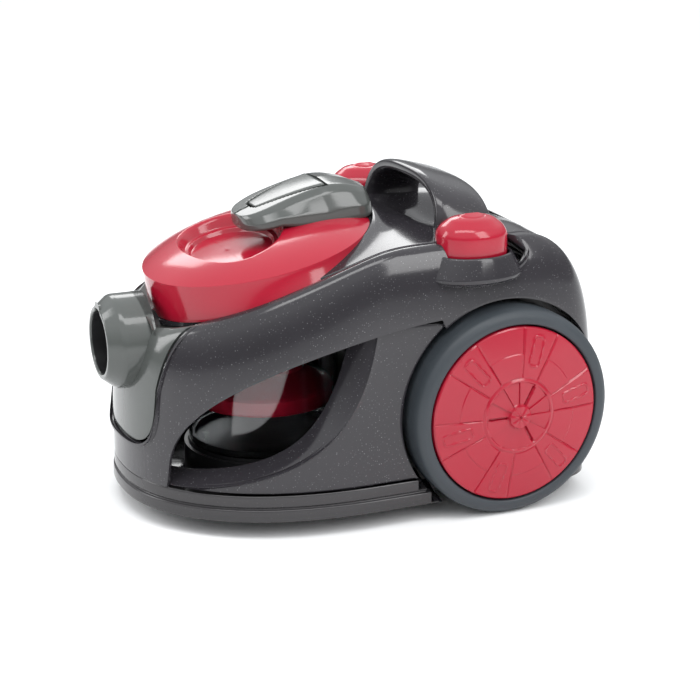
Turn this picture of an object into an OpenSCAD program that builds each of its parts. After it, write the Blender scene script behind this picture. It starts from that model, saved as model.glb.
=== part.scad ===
// Canister vacuum cleaner with a lift-out dust cup, two large rear wheels and one front caster.
// Front (hose inlet) is -Y, the object's left side is +X, up is +Z.
// The origin is the middle of the footprint, on the floor.

/* [Body] */
// Front end of the base rim, measured forwards from the origin
base_front = 183; // [175:1:190]
// Rear end of the base, measured backwards from the origin
base_rear = 188; // [184:1:194]
// Half width of the base rim
base_half_w = 129; // [122:1:134]
// Height of the underside above the floor
ground_gap = 13; // [11:1:16]
// Height of the base rim's top above the floor
rim_top = 36; // [33:1:42]
// Half width of the shell's top edge
top_half_w = 105; // [98:1:110]
// Front end of the shell's top edge, measured forwards
top_front = 156; // [150:1:162]
// Rear end of the shell's top edge, measured backwards
top_rear = 197.5; // [190:0.5:200]
// Height of the shell's top edge at the nose
nose_top_z = 156; // [148:1:166]
// Height of the deck behind the cup
deck_z = 222; // [215:1:235]
// Wall thickness of the shells
wall = 3; // [2:0.5:4]

/* [Wheels] */
// Radius of a rear tyre
wheel_r = 85; // [78:1:92]
// Position of the wheel axle behind the origin
wheel_y = 100; // [94:1:104]
// Inner side of a tyre, from the middle plane
tyre_in_x = 107; // [105:1:112]
// Outer side of a tyre, from the middle plane
tyre_out_x = 143; // [136:1:150]
// Radius of the red hubcap
hubcap_r = 71.5; // [60:0.5:73]
// How far the middle of the hubcap stands out past its rim
hubcap_bulge = 8; // [4:1:12]
// Gap between a tyre and its wheel arch
arch_gap = 5; // [4:0.5:8]
// Radius of a wheel axle
axle_r = 6; // [4:0.5:8]

/* [Hose inlet] */
// Front of the inlet mouth, measured forwards from the origin
inlet_front = 197.5; // [190:0.5:205]
// Height of the inlet's axis
inlet_z = 139; // [134:1:142]
// Outer radius of the inlet tube
inlet_r = 38; // [34:0.5:40]
// Radius of the bore that the hose end plugs into
inlet_bore_r = 25; // [20:0.5:28]
// Depth of that bore
inlet_bore_len = 30; // [20:1:32]

/* [Dust cup] */
// Outer radius of the clear cup
cup_r = 62; // [55:1:64]
// Position of the cup's axis in front of the origin
cup_y = 60; // [56:1:64]
// Height of the cup's underside
cup_bottom_z = 38; // [37:1:44]
// Radius of the lid
lid_r = 91; // [86:1:93]
// Height of the lid's centre
lid_z = 212; // [206:1:220]
// Position of the lid's centre in front of the origin
lid_y = 63; // [58:1:68]
// Tilt of the lid's top, rising to the rear
lid_tilt = 12.2; // [8:0.2:15]

/* [Buttons] */
// Distance of each button from the middle plane
button_x = 106; // [102:1:110]
// Position of the buttons behind the origin
button_y = 76; // [68:1:84]
// Length of a button along the body
button_len = 58; // [40:1:62]
// Width of a button across the body
button_w = 48; // [34:1:52]

/* [Carry handle] */
// Height of the carry handle's highest point
handle_top = 265; // [255:1:285]
// Front edge of the carry handle behind the origin
handle_y = 63; // [58:1:70]
// Width of the handle's band along the body
handle_w = 50; // [36:1:56]
// Depth of the hollow in the deck under the handle
hand_room = 15; // [8:1:18]
// Thickness of the handle's band
handle_t = 10; // [8:1:16]

/* [Front caster] */
// Position of the caster's swivel in front of the origin
caster_y = 150; // [146:1:152]
// Radius of the caster wheel
caster_r = 11; // [10:0.5:12]
// Trail of the caster wheel behind its swivel
caster_trail = 6; // [4:1:7]

/* [Motor and reel] */
// Radius of the fan housing
fan_r = 57; // [48:1:58]
// Height of the motor's axis
motor_z = 86; // [82:1:88]
// Radius of the motor can
motor_r = 42; // [34:1:46]
// Radius of the cord reel's flanges
reel_r = 63; // [50:1:64]
// Position of the cord reel behind the origin
reel_y = 88; // [86:1:92]
// Height of the reel's lower flange
reel_z = 153; // [152:1:158]

/* [Hidden] */
$fn = 96;
RUN = 0.05; // radial clearance of a running fit
GAP = 0.4; // gap between neighbouring pieces
SEAM_SLOPE = 0.41; // rise of the shell's top edge per length, from the nose back
REAR_DROP = 0.0115; // how fast the deck falls away behind the handle
DROP_FROM = 125; // where that fall begins
FRONT_MID = -12; // widest place of the base outline
TOP_MID = 20; // widest place of the top edge
arch_r = wheel_r + arch_gap;
arch_end = 45; // the sweep's lower edge joins the wheel arch here
well_x = 100; // outer face of the wheel well's wall
tip_y = -166; // front tip of the side sweep
shell_end = 160; // plan angle where the upper shell meets the rear cover
nose_half = 24; // half of the nose cover's plan angle
nose_bottom_z = 64;
well_floor = ground_gap + wall;
reel_top = reel_z + 34;
button_top = 242;
button_h = 22;
bezel_wall = 8;
stem_bottom = 199.8;
seal_r = inlet_bore_r - 1; // outer radius of the ring behind the hose bore
SEAL_T = 3; // its thickness
HINGE = [143.2, 218]; // place and height of the grille's hinge rod
HINGE_R = 1.8;

DARK = [0.22, 0.22, 0.25];
GREY = [0.40, 0.41, 0.41];
RED = [0.62, 0.06, 0.12];
BLACK = [0.08, 0.08, 0.09];
METAL = [0.7, 0.7, 0.72];

// ---- numbers and curves ----

function lerp(a, b, t) = a + (b - a) * t;
function clamp01(t) = min(1, max(0, t));
function signed_pow(v, p) = sign(v) * pow(abs(v), p);
function soft_min(a, b, k) = (a + b - sqrt((a - b) * (a - b) + k * k)) / 2;
function bezier(a, b, c, d, t) = pow(1 - t, 3) * a + 3 * t * pow(1 - t, 2) * b + 3 * t * t * (1 - t) * c + t * t * t * d;

// One corner-rounded outline in plan: u is 0 at the nose, 90 on the left side and 180 at the back
function outline(u, mid, front, rear, half, n, nr) =
    let (m = cos(u) >= 0 ? n : nr, a = cos(u) >= 0 ? front + mid : rear - mid)
    [half * signed_pow(sin(u), 2 / m), mid - a * signed_pow(cos(u), 2 / m)];

function base_outline(u, inset) =
    outline(u, FRONT_MID, base_front - inset, base_rear - inset, base_half_w - inset, 2.24, 8);
function top_outline(u, inset) =
    outline(u, TOP_MID, top_front - inset, top_rear - inset, top_half_w - inset, 2.25, 4);

// Height of the shell's top edge at a place along the body
function top_z(y) =
    soft_min(nose_top_z + SEAM_SLOPE * (y + top_front), deck_z, 8) - REAR_DROP * pow(max(0, y - DROP_FROM), 2);

// A point of the body's skin: u goes round the plan, w from the rim (0) to the top edge (1)
function skin(u, w, inset) =
    let (b = base_outline(u, inset), t = top_outline(u, inset), zt = top_z(t[1]) - inset * w,
         h = 1 - pow(1 - pow(clamp01(w), 3), 1 / 3))
    [lerp(b[0], t[0], h), lerp(b[1], t[1], h), lerp(rim_top, zt, w)];

// The plan angle where the skin passes through a given place along the body at a given height
function skin_w(u, z, inset) =
    clamp01((z - rim_top) / (top_z(top_outline(u, inset)[1]) - inset - rim_top));
function angle_at(y, z, inset, lo = 0, hi = 180, k = 16) =
    let (mid = (lo + hi) / 2)
    k == 0 ? mid
    : skin(mid, skin_w(mid, z, inset), inset)[1] < y ? angle_at(y, z, inset, mid, hi, k - 1)
    : angle_at(y, z, inset, lo, mid, k - 1);
function skin_x(y, z, inset) =
    let (u = angle_at(y, z, inset)) skin(u, skin_w(u, z, inset), inset)[0];

// Lower edge of the side sweep: it climbs from the tip and then follows the wheel arch
function arch_z(y) =
    abs(y - wheel_y) < arch_r ? wheel_r + sqrt(arch_r * arch_r - pow(y - wheel_y, 2)) : 0;
function sweep_z(y) =
    let (s = clamp01((y - tip_y) / 224)) 37 + 128 * pow(1 - pow(1 - s, 1.6), 0.37);
function edge_z(y) = y < tip_y ? rim_top : y < arch_end ? max(sweep_z(y), arch_z(y)) : arch_z(y);
function edge_w(u, lo = 0, hi = 1, k = 16) =
    let (mid = (lo + hi) / 2, p = skin(u, mid, 0))
    k == 0 ? mid : p[2] < edge_z(p[1]) ? edge_w(u, mid, hi, k - 1) : edge_w(u, lo, mid, k - 1);
function shell_low_w(u) = abs(u) < 28 ? 0 : edge_w(abs(u));

// Upper edge of the shell: a U-shaped notch at the nose takes the nose cover
function nose_z(u) =
    lerp(nose_bottom_z, nose_top_z + 8, 1 - pow(1 - pow(clamp01(abs(u) / nose_half), 5), 1 / 3));
function nose_w(u) = clamp01((nose_z(u) - rim_top) / (top_z(top_outline(u, 0)[1]) - rim_top));
function shell_high_w(u) = abs(u) < nose_half ? nose_w(u) : 1;

// ---- solids from grids of points ----

// A closed sheet between an outer and an inner grid, both as lists of rows of equal length
module sheet(outer, inner) {
    rows = len(outer);
    cols = len(outer[0]);
    n = rows * cols;
    points = [for (r = outer) each r, for (r = inner) each r];
    faces = [
        for (i = [0:rows - 2], j = [0:cols - 2]) each
            let (a = i * cols + j, b = a + 1, c = a + cols, d = c + 1)
            [[a, b, d], [a, d, c], [n + a, n + d, n + b], [n + a, n + c, n + d]],
        for (j = [0:cols - 2], side = [0, 1]) each
            let (a = side == 0 ? j : (rows - 1) * cols + j, b = a + 1)
            side == 0 ? [[a, n + a, n + b], [a, n + b, b]] : [[a, b, n + b], [a, n + b, n + a]],
        for (i = [0:rows - 2], side = [0, 1]) each
            let (a = side == 0 ? i * cols : i * cols + cols - 1, b = a + cols)
            side == 0 ? [[a, b, n + b], [a, n + b, n + a]] : [[a, n + a, n + b], [a, n + b, b]]
    ];
    polyhedron(points, faces, convexity = 10);
}

// A closed solid through rings of equal length, capped at both ends
module loft(rings) {
    n = len(rings[0]);
    last = len(rings) - 1;
    points = [for (r = rings) each r];
    faces = [
        for (i = [0:last - 1], j = [0:n - 1]) each
            let (a = i * n + j, b = i * n + (j + 1) % n, c = a + n, d = b + n)
            [[a, b, d], [a, d, c]],
        [for (j = [n - 1:-1:0]) j],
        [for (j = [0:n - 1]) last * n + j]
    ];
    polyhedron(points, faces, convexity = 6);
}

// A closed ring-shaped solid through sections of equal length
module loop_loft(sections) {
    n = len(sections[0]);
    count = len(sections);
    points = [for (r = sections) each r];
    faces = [for (i = [0:count - 1], j = [0:n - 1]) each
        let (a = i * n + j, b = i * n + (j + 1) % n, c = ((i + 1) % count) * n + j, d = ((i + 1) % count) * n + (j + 1) % n)
        [[a, b, d], [a, d, c]]];
    polyhedron(points, faces, convexity = 6);
}

// A ring of points: an oval with semi-axes a and b at height z
function oval(a, b, z, n = 40) = [for (i = [0:n - 1]) [a * cos(i * 360 / n), b * sin(i * 360 / n), z]];

// A coil spring of round wire standing on z = 0
module coil(r, wire_r, height, turns) {
    per_turn = 12;
    steps = turns * per_turn;
    loft([for (i = [0:steps])
        let (a = i * 360 / per_turn, z = wire_r + (height - 2 * wire_r) * i / steps)
        [for (k = [0:5]) [(r + wire_r * cos(-60 * k)) * cos(a), (r + wire_r * cos(-60 * k)) * sin(a), z + wire_r * sin(-60 * k)]]]);
}

// Turns the +Z axis of its child to +X, with the child's X going along +Y
module along_x() { rotate([90, 0, 90]) children(); }
// Turns the +Z axis of its child to +Y
module along_y() { rotate([-90, 0, 0]) children(); }
module tube(outer, inner, h) {
    difference() {
        cylinder(r = outer, h = h);
        translate([0, 0, -1]) cylinder(r = inner, h = h + 2);
    }
}
module mirrored() { mirror([1, 0, 0]) children(); }

// ---- outer shells ----

module base_pan() {
    pts = [for (u = [-177.5:5:180]) base_outline(u, 0)];
    inner_pts = [for (u = [-177.5:5:180]) base_outline(u, wall)];
    color(DARK) difference() {
        union() {
            difference() {
                translate([0, 0, ground_gap]) linear_extrude(rim_top - ground_gap) polygon(pts);
                translate([0, 0, well_floor]) linear_extrude(rim_top) polygon(inner_pts);
            }
            // caster pocket with its swivel boss
            translate([0, -caster_y, ground_gap]) cylinder(r = 22.5, h = 20);
            translate([0, -caster_y, ground_gap]) cylinder(r = 9, h = 29);
        }
        translate([0, -caster_y, -1]) cylinder(r = 20, h = ground_gap + 18);
        translate([0, -caster_y, 0]) cylinder(r = 5 + RUN, h = 60);
        // room for the rear wheels
        for (m = [0, 1]) mirror([m, 0, 0]) translate([well_x, wheel_y, wheel_r]) along_x() cylinder(r = arch_r, h = 60);
        for (p = screw_places()) translate([p[0], p[1], 0]) {
            cylinder(r = 2.1, h = 40);
            cylinder(r = 4.4, h = ground_gap + 1.2);
        }
    }
}

function screw_places() = [for (x = [-70, 70], y = [30, 100, 170]) [x, y]];

module upper_shell() {
    turn = [for (i = [-44:44]) shell_end * i / 44];
    rows = 9;
    function grid(inset) = [for (u = turn) [for (j = [0:rows])
        skin(u, lerp(shell_low_w(u), shell_high_w(u), sin(90 * j / rows)), inset)]];
    color(DARK) difference() {
        sheet(grid(0), grid(wall));
        bezel_hole();
    }
}

function ridge(t) = [bezier(-168, -90, -25, -10, t), bezier(37, 46, 60, 165, t)];
function arch_edge(t) =
    let (a = lerp(213, 124, t)) [wheel_y + (arch_r + 0.5) * cos(a), wheel_r + (arch_r + 0.5) * sin(a)];

module side_panel_left() {
    steps = 18;
    across = 12;
    function grid(inset) = [for (j = [0:across]) [for (i = [0:steps])
        let (a = ridge(i / steps), b = arch_edge(i / steps), y = lerp(a[0], b[0], j / across),
             z = max(rim_top + 0.3, lerp(a[1], b[1], j / across)))
        [skin_x(y, z, inset), y, z]]];
    color(DARK) sheet(grid(wall + GAP), grid(2 * wall + GAP));
}
module side_panel_right() { mirrored() side_panel_left(); }

module nose_cover() {
    across = 20;
    rows = 9;
    angles = [for (i = [-across / 2:across / 2]) (nose_half - 1.4) * i / (across / 2)];
    function grid(inset) = [for (u = angles) [for (j = [0:rows])
        skin(u, lerp(nose_w(u) + 0.018, 0.985, j / rows), inset)]];
    color(GREY) difference() {
        union() {
            sheet(grid(0), grid(wall));
            translate([0, -inlet_front, inlet_z]) along_y() rotate_extrude()
                polygon([[0, 0], [inlet_r - 9, 0], [inlet_r, 10], [inlet_r, 40.5], [0, 40.5]]);
        }
        translate([0, -inlet_front - 1, inlet_z]) along_y() cylinder(r = inlet_bore_r, h = inlet_bore_len + 1);
        // pocket of the seal, just past the bore
        translate([0, -inlet_front - 1, inlet_z]) along_y() cylinder(r = seal_r, h = inlet_bore_len + 1 + SEAL_T);
        translate([0, -inlet_front - 1, inlet_z]) along_y() cylinder(r = 21, h = 60);
        // recess at the top of the mouth for the hose's catch
        translate([-7, -inlet_front - 1, inlet_z + inlet_bore_r - 3]) cube([14, 9, 7]);
    }
}

// The deck behind the lid starts on the lid's edge and ends at the grille.
// Half width of the deck: it keeps inside the shell's top edge and goes round the bezels
function deck_half(y) =
    let (a = button_len / 2 + bezel_wall + 4, b = button_w / 2 + bezel_wall + 4, d = abs(y - button_y) / a)
    min(skin_x_top(y) - 2.2, d < 1 ? button_x - b * sqrt(1 - d * d) : button_x);
function skin_x_top(y) =
    let (a = y >= TOP_MID ? top_rear - TOP_MID : top_front + TOP_MID, m = y >= TOP_MID ? 4 : 2.25)
    top_half_w * pow(max(0, 1 - pow(abs(y - TOP_MID) / a, m)), 1 / m);
function seam_plane(y) = nose_top_z + SEAM_SLOPE * (y + top_front);
function bump(v) = abs(v) < 1 ? pow(cos(90 * v), 2) : 0;
function deck_height(x, y) =
    top_z(y) + 4 * (1 - pow(x / top_half_w, 2)) - hand_room * bump(x / 76) * bump((y - 86) / 56);
// The deck's front edge follows the lid's rim over this half angle from the back
DECK_TURN = 82;
function lid_edge(s) = [(lid_r + 1.5) * sin(DECK_TURN * s), -lid_y + (lid_r + 1.5) * cos(DECK_TURN * s)];
GRILLE_Y = 140;
function deck_point(s, t, drop) =
    let (f = lid_edge(s), y = lerp(f[1], GRILLE_Y, t), side = s * deck_half(y),
         x = lerp(f[0], side, pow(t, 0.5)), lift = seam_plane(f[1]) - deck_height(f[0], f[1]))
    [x, y, deck_height(x, y) + lift * pow(1 - t, 6) - drop];

module rear_deck() {
    across = 24;
    along = 36;
    function grid(drop) = [for (i = [0:across]) [for (j = [0:along])
        deck_point(-1 + 2 * i / across, pow(j / along, 1.2), drop)]];
    color(DARK) sheet(grid(wall), grid(0));
}

module rear_cover() {
    steps = 20;
    rows = 10;
    function grid(inset) = [for (i = [0:steps]) [for (j = [0:rows])
        skin(lerp(shell_end + 0.6, 360 - shell_end - 0.6, i / steps), lerp(0.002, 0.94, sin(90 * j / rows)), inset)]];
    color(DARK) difference() {
        sheet(grid(0), grid(wall));
        translate([0, 150, 70]) along_y() cylinder(r = 12, h = 80);
    }
}

// Ribbed cover on the sloping tail, hinged at its upper edge
GRILLE_TILT = 37;
function tail_z(y) = top_z(y) + 2;
module grille_frame() { translate([0, GRILLE_Y + 4, 211]) rotate([-GRILLE_TILT, 0, 0]) children(); }
module exhaust_grille() {
    front = GRILLE_Y + 2;
    steps = 8;
    ys = [for (i = [0:steps]) lerp(front, top_rear - 0.5, i / steps)];
    outline_pts = [for (u = [-177.5:5:180]) top_outline(u, wall + 1.2)];
    color(BLACK) difference() {
        intersection() {
            translate([-120, 0, 0]) along_x() linear_extrude(240)
                polygon([each [for (y = ys) [y, tail_z(y)]], each [for (i = [steps:-1:0]) [ys[i], tail_z(ys[i]) - 4]]]);
            translate([0, 0, 100]) linear_extrude(200) polygon(outline_pts);
        }
        for (i = [-8:8]) translate([i * 8.3 - 2.3, GRILLE_Y + 9, 100]) cube([4.6, 34, 200]);
    }
    // rod that the cover swings on, its ends run just inside the shell
    color(BLACK) translate([-94, HINGE[0], HINGE[1]]) along_x() cylinder(r = HINGE_R, h = 188);
}
module exhaust_filter() {
    color([0.85, 0.85, 0.82]) grille_frame() translate([-50, 3, -9.5]) cube([100, 36, 6]);
}
module filter_tray() {
    color(BLACK) grille_frame() difference() {
        translate([-54, 0, -12]) cube([108, 42, 8]);
        translate([-50.4, 2.6, -9.9]) cube([100.8, 36.8, 20]);
        translate([-40, 10, -20]) cube([80, 22, 12]);
    }
}

// ---- carry handle and buttons ----

// The handle's band arches from one button pod to the other; it leans back, so its front edge is its highest line,
// a quarter of its thickness above the middle line
module carry_handle() {
    half = 67.5;
    foot_z = 224.5;
    steps = 32;
    function centre(a) = [half * signed_pow(cos(a), 0.75), foot_z + (handle_top - handle_t / 4 - foot_z) * pow(sin(a), 0.8)];
    rings = [for (i = [0:steps])
        let (a = 180 * i / steps, c = centre(a), d = [cos(a), sin(a) + 0.25], l = norm(d), nx = d[0] / l, nz = d[1] / l,
             w = handle_w * (1 + 0.25 * (1 - sin(a))))
        [for (k = [0:15])
            let (q = 22.5 * k, r = handle_t / 2 * signed_pow(sin(q), 0.7), s = w / 2 * signed_pow(cos(q), 0.7))
            [c[0] + r * nx, handle_y + handle_w / 2 + s, c[1] + r * nz - (s + w / 2) * 0.25 * sin(a)]]];
    color(GREY) loft(rings);
}

module button_place() { translate([button_x, button_y, 0]) rotate([0, 0, 90]) children(); }

BEZEL_PROFILE = [[bezel_wall, 204], [bezel_wall, 219], [6, 225], [3.5, 227], [1.6, 226], [0.6, 223], [0.6, 204]];
// Vertical oval opening in the shells for a bezel
module bezel_hole() {
    for (m = [0, 1]) mirror([m, 0, 0]) button_place() translate([0, 0, 189]) linear_extrude(80)
        polygon([for (p = oval(button_len / 2 + bezel_wall + GAP, button_w / 2 + bezel_wall + GAP, 0)) [p[0], p[1]]]);
}
module bezel_left() {
    around = 40;
    color(DARK) {
        button_place() loop_loft([for (i = [0:around - 1])
            let (q = 360 * i / around)
            [for (p = BEZEL_PROFILE) [(button_len / 2 + p[0]) * cos(q), (button_w / 2 + p[0]) * sin(q),
            // the outer side reaches down over the shell's shoulder
            p[1] > 204 ? p[1] : 204 - 13 * clamp01(-1.6 * sin(q))]]]);
        // floor that carries the spring
        difference() {
            button_place() translate([0, 0, 204]) linear_extrude(3)
                polygon([for (p = oval(button_len / 2 + 3, button_w / 2 + 3, 0)) [p[0], p[1]]]);
            translate([button_x - 4, button_y, 200]) cylinder(r = 3, h = 10);
        }
    }
}
module button_bezel_left() { bezel_left(); }
module button_bezel_right() { mirrored() bezel_left(); }

// Domed oval key with an off-centre stem that presses the switch or the brake
module push_button() {
    a = button_len / 2;
    b = button_w / 2;
    base = button_top - button_h;
    function stem(z) = [for (p = oval(2, 2, z)) p + [0, 4, 0]];
    dome = [for (k = [0:6]) let (q = 90 * k / 6, s = pow(cos(q * 0.93), 0.45))
        oval(a * s, b * s, base + lerp(9, button_h, sin(q)))];
    color(RED) button_place() loft([stem(stem_bottom), stem(base), oval(a, b, base), each dome]);
}
module power_button() { push_button(); }
module rewind_button() { mirrored() push_button(); }
module power_spring() { color(METAL) translate([button_x - 4, button_y, 207.1]) coil(5, 0.6, 12.8, 4); }
module rewind_spring() { mirrored() power_spring(); }
module power_switch() {
    color(BLACK) translate([button_x - 12, button_y - 8, 178]) cube([16, 16, 17.9]);
}

PIVOT = [-86, 197];
module brake_lever() {
    color(BLACK) difference() {
        union() {
            translate([-104, button_y - 5, 195]) cube([50, 10, 4]);
            translate([PIVOT[0], button_y - 5, PIVOT[1]]) along_y() cylinder(r = 5, h = 10);
            translate([-60, button_y - 5, reel_top + 0.6]) cube([6, 10, 199 - reel_top - 0.6]);
        }
        translate([PIVOT[0], button_y - 6, PIVOT[1]]) along_y() cylinder(r = 2 + RUN, h = 12);
    }
}
module brake_pivot() {
    color(METAL) translate([PIVOT[0], button_y - 9, PIVOT[1]]) along_y() cylinder(r = 2, h = 18);
}

// ---- wheels ----

module wheel_place() { translate([0, wheel_y, wheel_r]) along_x() children(); }

module wheel_well_left() {
    color(BLACK) difference() {
        union() {
            wheel_place() translate([0, 0, well_x - wall]) cylinder(r = arch_r + 2.4, h = wall + 5);
            translate([well_x - wall, wheel_y - arch_r - 2, well_floor]) cube([wall, 2 * arch_r - 2, wheel_r - well_floor]);
        }
        wheel_place() translate([0, 0, well_x]) cylinder(r = arch_r - 0.4, h = 30);
        wheel_place() cylinder(r = axle_r + 0.02, h = 200);
        translate([well_x, -100, -60]) cube([60, 400, 60 + rim_top + 2]);
        translate([0, -100, -60]) cube([160, 400, 60 + well_floor]);
        difference() {
            translate([0, 0, 0]) cube([160, 400, 300]);
            translate([0, 0, -1]) linear_extrude(302) polygon([for (u = [-177.5:5:180]) base_outline(u, 3 * wall)]);
        }
    }
}
module wheel_well_right() { mirrored() wheel_well_left(); }

module axle_left() {
    color(METAL) wheel_place() {
        translate([0, 0, well_x - wall - 6]) cylinder(r = axle_r + 5, h = 5.9);
        translate([0, 0, well_x - wall - 6]) cylinder(r = axle_r, h = 46);
    }
}
module axle_right() { mirrored() axle_left(); }

module tyre_left() {
    w = tyre_out_x - tyre_in_x;
    e = 5;
    inner = hubcap_r + 1;
    color([0.25, 0.27, 0.29]) wheel_place() translate([0, 0, tyre_in_x]) rotate_extrude()
        polygon([[inner, 0], [wheel_r - e, 0], for (a = [0:15:90]) [wheel_r - e + e * sin(a), e - e * cos(a)],
                 for (a = [0:15:90]) [wheel_r - e + e * cos(a), w - e + e * sin(a)], [inner, w]]);
}
module tyre_right() { mirrored() tyre_left(); }

module wheel_disc_left() {
    color(BLACK) wheel_place() difference() {
        union() {
            translate([0, 0, tyre_in_x + 4]) cylinder(r = hubcap_r + 1, h = 12);
            translate([0, 0, well_x + 2]) cylinder(r = 15, h = 32);
        }
        for (i = [0:5]) rotate([0, 0, 60 * i]) translate([46, 0, tyre_in_x]) cylinder(r = 15, h = 40);
        translate([0, 0, well_x]) cylinder(r = axle_r + RUN, h = 60);
    }
}
module wheel_disc_right() { mirrored() wheel_disc_left(); }

module hubcap_left() {
    t = 2.5;
    rim_x = tyre_out_x - 1;
    foot = tyre_in_x + 16;
    color(RED) wheel_place() union() {
        rotate_extrude() polygon([[0, rim_x + hubcap_bulge - t], [hubcap_r - 6, rim_x - t], [hubcap_r - 3, rim_x - t - 2],
            [hubcap_r - 3, foot], [hubcap_r, foot], [hubcap_r, rim_x - 1.5], [hubcap_r - 1.5, rim_x],
            [30, rim_x + hubcap_bulge * 0.62], [30, rim_x + hubcap_bulge * 0.62 + 1.2],
            [26, rim_x + hubcap_bulge * 0.7 + 1.2], [9, rim_x + hubcap_bulge * 0.9], [8, rim_x + hubcap_bulge + 2.5], [0, rim_x + hubcap_bulge + 3]]);
        for (i = [0:5]) rotate([0, 0, 60 * i + 30]) translate([42, -4, rim_x + 1]) cube([24, 8, 2.2]);
    }
}
module hubcap_right() { mirrored() hubcap_left(); }

module axle_washers() {
    color(METAL) for (m = [0, 1]) mirror([m, 0, 0]) wheel_place() translate([0, 0, well_x + 34.3]) tube(10, axle_r + 0.1, 1.2);
}

// ---- front caster ----

module caster_stem() {
    color(METAL) translate([0, -caster_y, 0]) {
        translate([0, 0, 25]) cylinder(r = 5, h = 17.5);
        translate([0, 0, 42.4]) cylinder(r = 7, h = 2);
    }
}
module caster_fork() {
    cheek_in = 8;
    color(BLACK) translate([0, -caster_y, 0]) difference() {
        union() {
            translate([0, 0, 24.6]) cylinder(r = 18, h = 3.4);
            for (side = [-1, 1]) translate([side * (cheek_in + 1.5), 0, 0])
                translate([-1.5, -3, caster_r - 4]) cube([3, caster_trail + 8, 25 - caster_r + 4]);
        }
        translate([0, 0, 20]) cylinder(r = 5.01, h = 12);
        translate([0, caster_trail, caster_r]) rotate([0, 90, 0]) cylinder(r = 2.5, h = 60, center = true);
    }
}
module caster_wheel() {
    color([0.25, 0.27, 0.29]) translate([-7, -caster_y + caster_trail, caster_r]) along_x() difference() {
        rotate_extrude() polygon([[0, 0], [caster_r - 2, 0], [caster_r, 2], [caster_r, 12], [caster_r - 2, 14], [0, 14]]);
        translate([0, 0, -1]) cylinder(r = 2.5 + RUN, h = 20);
    }
}
module caster_pin() {
    color(METAL) translate([-11.2, -caster_y + caster_trail, caster_r]) along_x() cylinder(r = 2.5, h = 22.4);
}

// ---- air path and dust cup ----

module inlet_seal() {
    color(BLACK) translate([0, -inlet_front + inlet_bore_len, inlet_z]) along_y() tube(seal_r - RUN, 21.5, SEAL_T);
}
module inlet_duct() {
    front = -inlet_front + 40.7;
    color(BLACK) translate([0, front, inlet_z]) along_y() tube(22, 20.5, -cup_y - cup_r - 1 - front);
}
module cup_place() { translate([0, -cup_y, 0]) children(); }
module cup_seat() {
    color(BLACK) cup_place() difference() {
        translate([0, 0, well_floor]) cylinder(r = cup_r + 4, h = cup_bottom_z + 3 - well_floor);
        translate([0, 0, cup_bottom_z - GAP]) cylinder(r = cup_r + 1, h = 20);
        translate([0, 0, 0]) cylinder(r = cup_r - 4, h = cup_bottom_z - wall);
    }
}

// Everything above the plane of the lid's lower edge, moved up by lift
module above_seam(lift) {
    translate([0, -top_front, nose_top_z + lift]) rotate([atan(SEAM_SLOPE), 0, 0])
        translate([-200, -100, 0]) cube([400, 500, 200]);
}

// Ledge under the lid, between the shell's top edge and the cup
module cup_rim() {
    shell_pts = [for (u = [-177.5:5:180]) top_outline(u, wall + GAP)];
    color(DARK) difference() {
        linear_extrude(300) intersection() {
            polygon(shell_pts);
            union() {
                translate([-200, -400]) square([400, 400 - 80]);
                translate([0, -lid_y]) circle(r = lid_r + 0.8);
            }
        }
        cup_place() cylinder(r = cup_r + 3.6, h = 400);
        above_seam(-0.8);
        translate([0, 0, -4]) below_seam();
        translate([0, -inlet_front, inlet_z]) along_y() cylinder(r = inlet_r + 1, h = 41);
        translate([0, -inlet_front, inlet_z]) along_y() cylinder(r = 22.6, h = 100);
    }
}

module below_seam() {
    translate([0, -top_front, nose_top_z]) rotate([atan(SEAM_SLOPE), 0, 0])
        translate([-200, -100, -400]) cube([400, 500, 400]);
}
module cup_wall() {
    color([0.8, 0.85, 0.88, 0.35]) difference() {
        cup_place() translate([0, 0, cup_bottom_z + 6]) tube(cup_r, cup_r - 2.5, 190);
        above_seam(-2);
        translate([0, -cup_y - cup_r - 5, inlet_z]) along_y() cylinder(r = 20.5, h = 20);
        translate([-18, -cup_y + cup_r - 15, 176]) cube([36, 25, 22]);
    }
}
module cup_base() {
    color(BLACK) cup_place() {
        translate([0, 0, cup_bottom_z]) cylinder(r = cup_r, h = 6);
        translate([0, 0, cup_bottom_z + 6]) tube(cup_r - 2.6, cup_r - 5, 5);
    }
}
module separator() {
    color(RED) cup_place() difference() {
        translate([0, 0, 80]) rotate_extrude() polygon([[0, 0], [30, 0], [cup_r - 4, -2], [cup_r - 3, 0], [cup_r - 3, 10],
            [cup_r - 5, 12], [34, 24], [34, 30], [0, 30]]);
        translate([0, 0, 60]) cylinder(r = 20, h = 60);
    }
}
module shroud() {
    color([0.3, 0.3, 0.32]) cup_place() translate([0, 0, 110]) difference() {
        cylinder(r = 34, h = 52);
        translate([0, 0, -1]) cylinder(r = 32, h = 80);
        for (i = [0:11], j = [0:2]) rotate([0, 0, 30 * i]) translate([28, -3, 8 + 13 * j]) cube([10, 6, 9]);
    }
}
module cup_filter() {
    pleats = 24;
    color([0.9, 0.9, 0.88]) cup_place() translate([0, 0, 112]) difference() {
        linear_extrude(48) polygon([for (i = [0:2 * pleats - 1]) let (r = i % 2 == 0 ? 30 : 25, a = i * 180 / pleats) [r * cos(a), r * sin(a)]]);
        translate([0, 0, -1]) cylinder(r = 18, h = 80);
    }
}

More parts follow.
